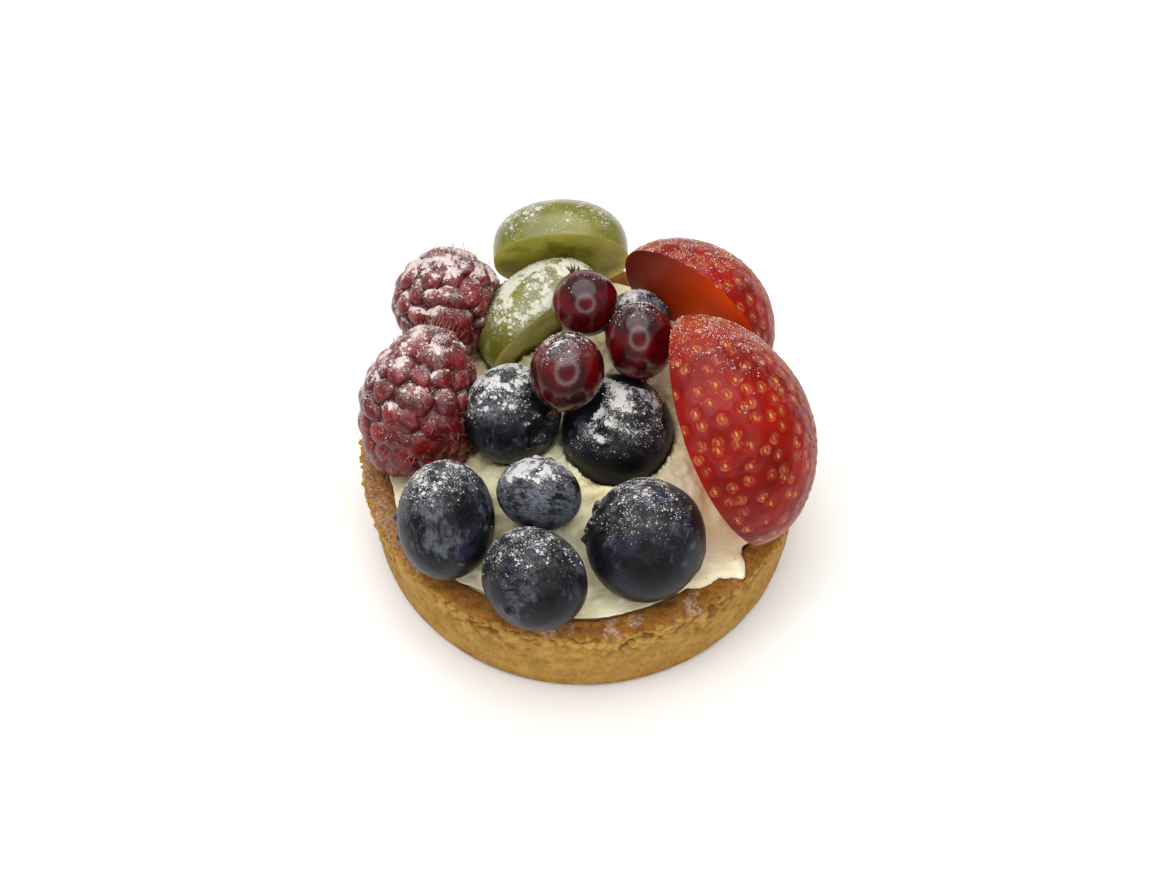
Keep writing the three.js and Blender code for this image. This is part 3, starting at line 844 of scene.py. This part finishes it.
def drupelet_centres(across, tall, seed):
    """Centres of the drupelets: rings up the cone, each ring turned half a step from the last
    and holding as many as fit round it, all a little out of place."""
    random = np.random.default_rng(seed)
    centres = []
    rises = np.linspace(-1.25, 1.48, max(4, round((tall + 0.45 * across) / DRUPELET_ROW_PITCH)))
    for row, rise in enumerate(rises):
        radius, height = raspberry_outline(across, tall, np.array(rise))
        count = max(1, round(2 * np.pi * float(radius) / DRUPELET_ACROSS))
        turn = 2 * np.pi * (np.arange(count) + 0.5 * (row % 2)) / count
        turn += random.uniform(-0.09, 0.09, count)
        centres.append(turned(radius, turn, height + random.uniform(-0.35, 0.35, count)))
    return np.concatenate(centres)


def raspberry_rings(across, tall, seed):
    """The cone carried round, then every point lifted onto the nearest drupelet: a drupelet
    is a ball sunk in the cone, so the lift is the square root of what is left of its radius."""
    _, rise, turn = ball(RASPBERRY_ROWS, RASPBERRY_STEPS)
    radius, height = raspberry_outline(across, tall, rise)
    points = turned(radius, turn, height)
    centres = drupelet_centres(across, tall, seed)
    size = np.random.default_rng(seed + 5).uniform(0.85, 1.25, len(centres))
    drift = np.stack([unevenness(points, 2.6, seed + k) for k in (1, 2, 3)], -1)
    away = np.linalg.norm((points + 0.75 * drift)[..., None, :] - centres, axis=-1)
    away /= size * 0.58 * DRUPELET_ACROSS
    nearest = away.min(-1)
    which = away.argmin(-1)
    dome = np.sqrt(np.clip(1 - nearest ** 2, 0, 1))
    middle = np.array([0, 0, 0.1 * tall])
    outward, bulge = unit(points - middle), unit(centres[which] - middle)
    sideways = points - centres[which]
    lifted = points + (0.55 * outward + 0.45 * bulge) * (1.05 * dome * size[which])[..., None]
    lifted += sideways * (0.16 * dome * (1 - dome))[..., None]
    lifted += outward * (0.04 * unevenness(points, 0.9, seed + 9, 2))[..., None]
    return lifted, dome


def give_way(points):
    """Points inside a firm neighbour are pushed straight out to just beyond its surface."""
    for at, half, up, side in FIRM_FRUIT:
        local = set_down(np.eye(3), (0, 0, 0), up, side)
        grown = np.array(half) + 0.25
        inside = (points - np.array(at)) @ local.T / grown
        length = np.linalg.norm(inside, axis=-1, keepdims=True)
        inside = np.where(length < 1, inside / np.maximum(length, 1e-6), inside)
        points = (inside * grown) @ local + np.array(at)
    return points


def raspberry_finish(name, sugar):
    """Crimson drupelets with painted shade in the clefts, and icing sugar on their crowns."""
    finish = Finish(
        name, specular_ior_level=0.35, coat_roughness=0.25, subsurface_weight=0.2,
        subsurface_scale=0.002, subsurface_radius=(1.0, 0.2, 0.2))
    dome = finish.mark("dome")
    sugar = dusting(finish, *sugar, 3.0) * dome.eased(0.1, 0.5)
    colour = finish.layered(
        RASPBERRY_DEEP,
        (finish.clouds(3.5, 2).eased(0.3, 0.7), RASPBERRY_RED),
        (finish.clouds(0.9, 4, rough=0.7).eased(0.5, 0.72) * 0.55, RASPBERRY_PINK),
        # painted shade: darker where the surface sinks into the clefts between drupelets
        (dome.eased(0.6, 0.15) * 0.6, RASPBERRY_CLEFT_SHADE),
        (sugar * 0.82, RASPBERRY_DUSTED))
    relief = sugar + finish.clouds(0.5, 2) * 0.3
    return finish.done(colour, 0.34 + sugar * 0.4, relief, 0.10, 0.15)


hair_finish = Finish("fruit_hairs", specular_ior_level=0.3)
hair_finish.done(hair_finish.blend(hair_finish.clouds(3, 2), HAIR_PALE, HAIR_RED), 0.6)

for seed, (name, at, across, tall, tip, *sugar) in enumerate(RASPBERRIES, 21):
    local, dome = raspberry_rings(across, tall, seed)
    placed = give_way(set_down(local, at, tip, RASPBERRY_SIDE))
    settle(
        f"fruit_raspberry_{name}", placed, raspberry_finish(f"raspberry_skin_{name}", sugar),
        "raspberry_flesh", f"raspberry_{name}", sugar, {"dome": dome})
    random = np.random.default_rng(seed)
    rows = random.integers(20, RASPBERRY_ROWS - 8, HAIRS)
    roots = placed[rows, random.integers(0, RASPBERRY_STEPS, HAIRS)]
    outward = unit(roots - np.array(at))
    lean = unit(outward + random.normal(0, 0.45, outward.shape))
    hairs = [
        shred(root - out * HAIR_ROOT, root + way * reach, HAIR_WIDTH, out * 0.35, 4, 4)
        for root, out, way, reach in zip(
            roots, outward, lean, random.uniform(*HAIR_REACH, HAIRS))]
    piece(f"hairs_raspberry_{name}", *joined(hairs), hair_finish, "raspberry_flesh")


# ---- halved grapes ----
# Two halves of seedless green grapes, stood at the back with their cut sides to the front:
# a thin half-clear skin over olive flesh, sugared over the dome and clean across the cut.

GRAPE_ROWS, GRAPE_ARC, GRAPE_CHORD = 110, 120, 40
GRAPES = (
    # name, centre, length, width, cut below the middle, long axis, dome, sugar
    ("back", (-3.9, 31.6, 30.5), 23.6, 18.4, 1.8,
     (0.998, 0.03, 0.02), (0, 0.987, 0.164), 0.1, 1.1, 0.6),
    ("middle", (-6.9, 19.6, 26.6), 24.2, 18.4, 2.1,
     (0.79, 0.512, 0.332), (-0.592, 0.775, 0.217), 0.0, 0.75, 1.05),
)
GRAPE_OLIVE = tint(104, 102, 24)
GRAPE_BRIGHT = tint(128, 124, 32)
GRAPE_DEEP = tint(86, 80, 20)
GRAPE_CUT = tint(186, 180, 72)
GRAPE_RIM_HIGHLIGHT = tint(190, 182, 96)
GRAPE_DUSTED = tint(226, 224, 206)
GRAPE_BLUNTNESS = 0.8
CUT_EDGE = 50  # degrees, above which an edge between faces stays crisp


def half_rings(radius, height, below, arc_steps, chord_steps):
    """Rings of a solid cut along a plane that lies below its axis: round the skin by way of
    +Y from one end of the cut to the other, and straight back across the cut. A ring too small
    to reach the plane keeps its whole skin."""
    drop = np.arcsin(np.clip(below / np.maximum(radius, 1e-6), 0, 0.999))[:, None]
    turn = -drop + (np.pi + 2 * drop) * np.linspace(0, 1, arc_steps)
    across = -np.cos(np.pi * (np.arange(chord_steps) + 1) / (chord_steps + 1))
    side, level = radius[:, None] * np.cos(drop), -radius[:, None] * np.sin(drop)
    x = np.concatenate([radius[:, None] * np.cos(turn), side * across], 1)
    y = np.concatenate([radius[:, None] * np.sin(turn), level + 0 * across], 1)
    on_cut = np.concatenate([np.zeros(arc_steps), np.ones(chord_steps)]) + 0 * height[:, None]
    return np.stack([x, y, height[:, None] + 0 * x], -1), on_cut


def grape_finish(name, sugar):
    """Olive skin, half clear, sugared outside; the cut is brighter, with a painted highlight on its
    rim.
    """
    finish = Finish(
        name, specular_ior_level=0.5, coat_roughness=0.2, subsurface_weight=0.45,
        subsurface_scale=0.005, subsurface_radius=(0.9, 1.0, 0.3))
    cut, core = finish.mark("cut"), finish.mark("core")
    flesh = finish.layered(
        GRAPE_BRIGHT,
        (finish.clouds(4, 3).eased(0.3, 0.7), GRAPE_CUT),
        (core.eased(0.3, 0.05) * 0.45, GRAPE_DEEP),
        # painted highlight along the rim of the cut
        (core.eased(0.82, 0.99) * 0.7, GRAPE_RIM_HIGHLIGHT))
    sugar = dusting(finish, *sugar, 4.5) * (1 - cut)
    colour = finish.layered(
        GRAPE_OLIVE,
        (finish.clouds(6, 2).eased(0.3, 0.7), GRAPE_BRIGHT),
        (finish.clouds(2.2, 3).eased(0.55, 0.8) * 0.5, GRAPE_DEEP),
        (cut, flesh),
        (sugar * 0.85, GRAPE_DUSTED))
    relief = sugar + finish.clouds(0.9, 2) * 0.12
    return finish.done(colour, 0.24 + sugar * 0.5, relief, 0.09, 0.3)


for seed, (name, at, long, wide, below, along, dome, *sugar) in enumerate(GRAPES, 31):
    rise = np.linspace(-np.pi / 2, np.pi / 2, GRAPE_ROWS)
    girth = wide / 2 * np.clip(np.cos(rise), 0, 1) ** GRAPE_BLUNTNESS
    local, cut = half_rings(girth, long / 2 * np.sin(rise), below, GRAPE_ARC, GRAPE_CHORD)
    core = np.hypot(local[..., 0] / (wide / 2), local[..., 2] / (long / 2))
    local = local * (1 + 0.01 * unevenness(local, 6.0, seed))[..., None]
    settle(
        f"fruit_grape_half_{name}", set_down(local, at, along, dome),
        grape_finish(f"grape_skin_{name}", sugar), "grape_flesh",
        f"grape_half_{name}", sugar, {"cut": cut, "core": core}, CUT_EDGE)


# ---- halved strawberries ----
# Two strawberries cut through from stalk to tip and leaned on the right, skin outwards: the
# skin swells between golden seeds that each sit in a pit, and the cut flesh is smooth.

STRAWBERRY_ROWS, STRAWBERRY_ARC, STRAWBERRY_CHORD = 240, 300, 60
SHOULDER, BLUNTNESS = 0.95, 0.5
STRAWBERRIES = (
    # name, centre, length, width, tip, the way the cut faces, sugar
    ("right", (22.2, -7.9, 33.7), 38.2, 28.6,
     (-0.36, 0.757, 0.551), (-0.809, 0.011, -0.59), 0.55, 1.3, 0.4),
    ("back", (18.3, 14.1, 34.8), 29.5, 24.6,
     (-0.733, 0.57, 0.371), (-0.626, -0.778, -0.04), 0.45, 1.25, 0.55),
)
SEED_SPACING = 2.9
PIT_DEPTH, PIT_SPREAD = 0.15, 0.8
SEED_LONG, SEED_WIDE, SEED_THICK, SEED_SUNK = 1.1, 0.62, 0.34, 0.22
STRAWBERRY_RED = tint(148, 14, 2)
STRAWBERRY_ORANGE = tint(172, 58, 16)
STRAWBERRY_DARK = tint(106, 7, 2)
STRAWBERRY_PEACH = tint(210, 120, 80)
STRAWBERRY_SUGAR_AND_SHEEN = tint(226, 186, 172)
CUT_ORANGE = tint(246, 84, 20)
CUT_PAINTED_SHADE = tint(110, 14, 8)
SEED_GOLD = tint(184, 120, 48)
SEED_BROWN = tint(142, 70, 24)


def strawberry_outline(long, across, share):
    """Radius and height at a share of the way from shoulder to tip: a sine arch, its widest
    ring nearer the shoulder, made blunter by a power."""
    radius = across / 2 * np.sin(np.pi * np.clip(share, 0, 1) ** SHOULDER) ** BLUNTNESS
    return radius, long * (share - 0.5)


def seed_places(long, across, seed):
    """Seeds spread over the skin's half: rings a spacing apart, every second one turned by
    half a step, each seed slid a little along the outline; with the outward direction at each."""
    random = np.random.default_rng(seed)
    places, outs = [], []
    shares = np.concatenate([[0.035], np.arange(0.10, 0.93, SEED_SPACING * 0.9 / long), [0.97]])
    for row, share in enumerate(shares):
        count = max(2, round(np.pi * strawberry_outline(long, across, share)[0] / SEED_SPACING))
        place = np.arange(count) + 0.3 + 0.4 * (row % 2) + random.uniform(-0.32, 0.32, count)
        turn = np.pi * place / count
        slid = np.clip(share + random.uniform(-0.9, 0.9, count) / long, 0.02, 0.98)
        radius, height = strawberry_outline(long, across, slid)
        beyond, height_beyond = strawberry_outline(long, across, slid + 0.01)
        places.append(turned(radius, turn, height))
        outs.append(unit(turned(height_beyond - height, turn, radius - beyond)))
    return np.concatenate(places), np.concatenate(outs)


def seed_rings(place, out, tip_way, random):
    """A flattened drop: rings of an oval along the berry's length, pointed towards the tip."""
    directions, rise, _ = ball(7, 8)
    long, wide = SEED_LONG * random.uniform(0.85, 1.1), SEED_WIDE * random.uniform(0.85, 1.1)
    pointed = 1 - 0.35 * np.sin(rise)
    local = directions * np.array([wide, SEED_THICK, long]) / 2
    local[..., :2] *= pointed[..., None]
    along = tip_way - out * (tip_way @ out)
    return set_down(local, place - out * SEED_SUNK, along, out)


def strawberry_finish(name, sugar):
    """Red skin, paler at the shoulder, with painted highlights in and round each seed's pit, icing
    sugar and a painted pale sheen facing right and up; the cut runs from orange at the shoulder to
    a dark red painted shade at the tip."""
    finish = Finish(
        name, specular_ior_level=0.15, coat_roughness=0.2, subsurface_weight=0.15,
        subsurface_scale=0.003, subsurface_radius=(1.0, 0.12, 0.05))
    pit, share, cut = finish.mark("pit"), finish.mark("share"), finish.mark("cut")
    # painted highlight: a pale ring round the rim of each seed's pit, broken up by clouds
    pit_rim_highlight = pit.eased(0.15, 0.4) * pit.eased(0.85, 0.5) * finish.clouds(1.0, 3).eased(0.45, 0.62)
    # painted sheen: a pale haze where the skin faces right, back and up, carried below in the
    # sugar's share and colour
    ridge = finish.towards((0.75, 0.55, 0.45)).eased(0.55, 1.0) * (1 - cut)
    haze = ridge * finish.clouds(1.2, 4, rough=0.7).eased(0.42, 0.68)
    sugar = (dusting(finish, *sugar, 2.6) * (1 - cut)).largest(haze * 0.55)
    colour = finish.layered(
        STRAWBERRY_RED,
        (finish.clouds(7, 3).eased(0.3, 0.7), STRAWBERRY_DARK),
        (share.eased(0.8, 1.0) * 0.6, STRAWBERRY_ORANGE),
        (share.eased(0.045, 0.0) * 0.5, STRAWBERRY_PEACH),
        # painted highlights: orange down in each seed's pit and a pale ring round its rim
        (pit.eased(0.1, 0.6) * 0.25, STRAWBERRY_ORANGE),
        (pit_rim_highlight * 0.36, STRAWBERRY_PEACH),
        # painted shade: the cut darkens from orange at the shoulder towards the tip
        (cut, finish.blend(share.eased(1.0, 0.35), CUT_PAINTED_SHADE, CUT_ORANGE)),
        (sugar * 0.62, STRAWBERRY_SUGAR_AND_SHEEN))
    relief = sugar * 0.8 + finish.clouds(0.7, 3) * 0.35
    return finish.done(colour, 0.34 + sugar * 0.4, relief, 0.10, 0.06)


seed_finish = Finish("strawberry_seeds", specular_ior_level=0.5)
seed_finish.done(
    seed_finish.blend(seed_finish.clouds(1.2, 2).eased(0.35, 0.65), SEED_BROWN, SEED_GOLD), 0.35)

for number, (name, at, long, across, tip, cut_way, *sugar) in enumerate(STRAWBERRIES, 41):
    share = (1 - np.cos(np.linspace(0, np.pi, STRAWBERRY_ROWS))) / 2
    radius, height = strawberry_outline(long, across, share)
    local, on_cut = half_rings(radius, height, 0.0, STRAWBERRY_ARC, STRAWBERRY_CHORD)
    places, outs = seed_places(long, across, number)
    near = np.full(local.shape[:2], 99.0)
    for place in places:
        near = np.minimum(near, np.linalg.norm(local - place, axis=-1))
    outward = unit(local * (1, 1, 0.25))
    pit = np.exp(-(near / PIT_SPREAD) ** 2)
    swell = 0.06 * eased(near, 0.8, 2.0) + 0.12 * unevenness(local, 5, number)
    swell += 0.035 * unevenness(local, 0.9, number, 2)
    fade = np.minimum(1, radius[:, None] / 2.5) * (1 - on_cut)
    local = local + outward * ((swell - PIT_DEPTH * pit - 0.1) * fade)[..., None]
    skin_side = -np.array(cut_way)
    settle(
        f"fruit_strawberry_half_{name}", set_down(local, at, tip, skin_side),
        strawberry_finish(f"strawberry_skin_{name}", sugar), "strawberry_flesh",
        f"strawberry_half_{name}", sugar,
        {"pit": pit * (1 - on_cut), "share": share[:, None] + 0 * on_cut, "cut": on_cut},
        CUT_EDGE)
    random = np.random.default_rng(number)
    seeds = [
        set_down(seed_rings(place, out, np.array([0.0, 0.0, 1.0]), random), at, tip, skin_side)
        for place, out in zip(places, outs)]
    piece(f"seeds_strawberry_half_{name}", *joined(seeds), seed_finish, "strawberry_flesh")


# ---- icing sugar ----
# A dusting of icing sugar, sieved from above and behind: single grains and small lumps that
# have clung together lie on whatever faced it, thickest on the tops of the fruit.

GRAIN_SIZES = (0.06, 0.29)
GRAINS = 24000
GRAIN_WHITE, GRAIN_SHADE = tint(238, 235, 230), tint(216, 212, 207)
OCTAHEDRON = np.array([[1, 0, 0], [-1, 0, 0], [0, 1, 0], [0, -1, 0], [0, 0, 1], [0, 0, -1]], float)
OCTAHEDRON_FACES = np.array([
    [0, 2, 4], [2, 1, 4], [1, 3, 4], [3, 0, 4], [2, 0, 5], [1, 2, 5], [3, 1, 5], [0, 3, 5]])


def grains_on(points, faces, start, full, count, random):
    """Places for grains: faces of the mesh are drawn at random, more often where the skin
    faces the falling sugar, is open to the sky and lies in a patch, and more for large faces."""
    quads = np.array([face for face in faces if len(face) == 4])
    a, b, c, d = np.moveaxis(points[quads], 1, 0)
    normal = np.cross(c - a, d - b)
    area = np.linalg.norm(normal, axis=1) + 1e-12
    facing = (normal / area[:, None]) @ unit(np.array(SUGAR_FALL))
    middle = (a + c) / 2
    patch = eased(unevenness(middle, 2.6, 77, 3), -0.35, 0.5)
    weight = area * eased(facing, start, full) * open_sky(middle) * (0.12 + patch)
    chosen = random.choice(len(quads), count, p=weight / weight.sum())
    s, t = random.uniform(0, 1, (2, count, 1))
    near_side, far_side = a[chosen] * (1 - s) + b[chosen] * s, d[chosen] * (1 - s) + c[chosen] * s
    return near_side * (1 - t) + far_side * t, normal[chosen] / area[chosen, None]


random = np.random.default_rng(7)
spans = np.array([np.ptp(points, axis=0) for points, *_ in dusted])
shares = np.array([heavy for *_, heavy in dusted]) * spans[:, 0] * spans[:, 1]
shares /= shares.sum()
spots, outs = map(np.concatenate, zip(*[
    grains_on(points, faces, start, full, int(GRAINS * part), random)
    for (points, faces, start, full, _), part in zip(dusted, shares)]))
sizes = GRAIN_SIZES[0] + np.ptp(GRAIN_SIZES) * random.power(0.45, len(spots)) ** 2
shape = OCTAHEDRON[None] * random.uniform(0.6, 1.3, (len(spots), 6, 1))
shape += random.normal(0, 0.12, (len(spots), 6, 3))
sizes = sizes[:, None, None]
grain_points = (spots + outs * sizes[:, 0] * 0.15)[:, None] + shape * sizes * 0.5
grain_faces = OCTAHEDRON_FACES[None] + 6 * np.arange(len(spots))[:, None, None]
sugar_finish = Finish(
    "icing_sugar", specular_ior_level=0.3, subsurface_weight=0.2, subsurface_scale=0.0004)
sugar_finish.done(sugar_finish.blend(sugar_finish.clouds(0.8, 2), GRAIN_SHADE, GRAIN_WHITE), 0.7)
piece(
    "icing_sugar_grains", grain_points.reshape(-1, 3), grain_faces.reshape(-1, 3).tolist(),
    sugar_finish, "cream")


# ---- loose crumbs ----
# Crumbs of the baked crust that cling to the outside of the case, most of them just under its
# rim, where the edge is torn.

CRUMBS = 300
CRUMB_TOP, CRUMB_SPREAD = 19.0, 6.0
CRUMB_SIZES = (0.3, 1.3)
CRUMB_SHAPE = (0.6, 0.5, 0.32)

random = np.random.default_rng(19)
turn = random.uniform(0, 2 * np.pi, CRUMBS)
height = CRUMB_TOP - CRUMB_SPREAD * random.power(0.5, CRUMBS) ** 2
crumb_sizes = random.uniform(*CRUMB_SIZES, (2, CRUMBS))[1]
directions, _, _ = ball(6, 8)
crumb_parts = []
for k, (spot, size) in enumerate(zip(turned(CASE_RADIUS - 0.3, turn, height), crumb_sizes)):
    lumps = (1 + 0.7 * unevenness(directions + 3 * k, 0.8, 90))[..., None]
    crumb_parts.append(spot + directions * lumps * size * CRUMB_SHAPE)
crumb_finish = Finish("crust_crumbs", specular_ior_level=0.25)
crumb_finish.done(
    crumb_finish.blend(crumb_finish.clouds(2.0, 3).eased(0.35, 0.65), CRUST_TAN, CRUST_GOLD),
    0.85, crumb_finish.clouds(0.3, 2), 0.08)
piece("crust_crumbs", *joined(crumb_parts), crumb_finish, "crust")
